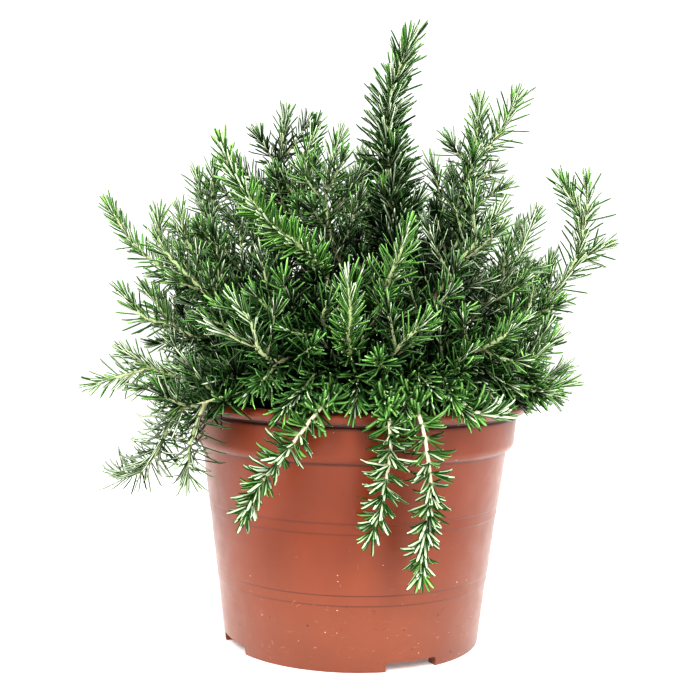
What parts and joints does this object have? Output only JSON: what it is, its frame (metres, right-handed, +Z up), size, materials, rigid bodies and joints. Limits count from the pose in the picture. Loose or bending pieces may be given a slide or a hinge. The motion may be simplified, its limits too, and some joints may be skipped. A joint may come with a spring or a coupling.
{
  "type": "potted rosemary plant",
  "caption": "Bushy rosemary plant with upright, spreading and trailing sprigs, growing in soil in a round tapered plastic nursery pot.",
  "frame": {"origin": "on the pot's axis, at the surface that its foot ring stands on", "axes": "+Z up; the front of the plant, with the trailing sprigs, faces -Y; +X to the right"},
  "size_m": [0.2945, 0.2546, 0.3365],
  "materials": {
    "pot": "satin",
    "soil": "matte",
    "bark": "matte",
    "foliage": "matte"
  },
  "bodies": {
    "root": {"pot": "pot", "soil": "soil", "stem_left": "bark", "sprig_left_1": "foliage", "sprig_left_2": "foliage", "sprig_left_3": "foliage", "sprig_left_4": "foliage", "stem_front_left": "bark", "sprig_front_left_1": "foliage", "sprig_front_left_2": "foliage", "sprig_front_left_3": "foliage", "sprig_front_left_4": "foliage", "sprig_front_left_5": "foliage", "stem_front": "bark", "sprig_front_1": "foliage", "sprig_front_2": "foliage", "sprig_front_3": "foliage", "sprig_front_4": "foliage", "sprig_front_5": "foliage", "sprig_front_6": "foliage", "stem_front_right": "bark", "sprig_front_right_1": "foliage", "sprig_front_right_2": "foliage", "sprig_front_right_3": "foliage", "sprig_front_right_4": "foliage", "sprig_front_right_5": "foliage", "sprig_front_right_6": "foliage", "sprig_front_right_7": "foliage", "stem_right": "bark", "sprig_right_1": "foliage", "sprig_right_2": "foliage", "sprig_right_3": "foliage", "sprig_right_4": "foliage", "stem_centre": "bark", "sprig_centre_1": "foliage", "sprig_centre_2": "foliage", "sprig_centre_3": "foliage", "sprig_centre_4": "foliage", "sprig_centre_5": "foliage", "sprig_centre_6": "foliage", "stem_back_right": "bark", "sprig_back_right_1": "foliage", "sprig_back_right_2": "foliage", "sprig_back_right_3": "foliage", "sprig_back_right_4": "foliage", "sprig_back_right_5": "foliage", "stem_back": "bark", "sprig_back_1": "foliage", "sprig_back_2": "foliage", "sprig_back_3": "foliage", "sprig_back_4": "foliage", "sprig_back_5": "foliage", "sprig_back_6": "foliage", "stem_back_left": "bark", "sprig_back_left_1": "foliage", "sprig_back_left_2": "foliage", "sprig_back_left_3": "foliage", "sprig_back_left_4": "foliage", "sprig_back_left_5": "foliage", "sprig_back_left_6": "foliage"}
  },
  "joints": []
}
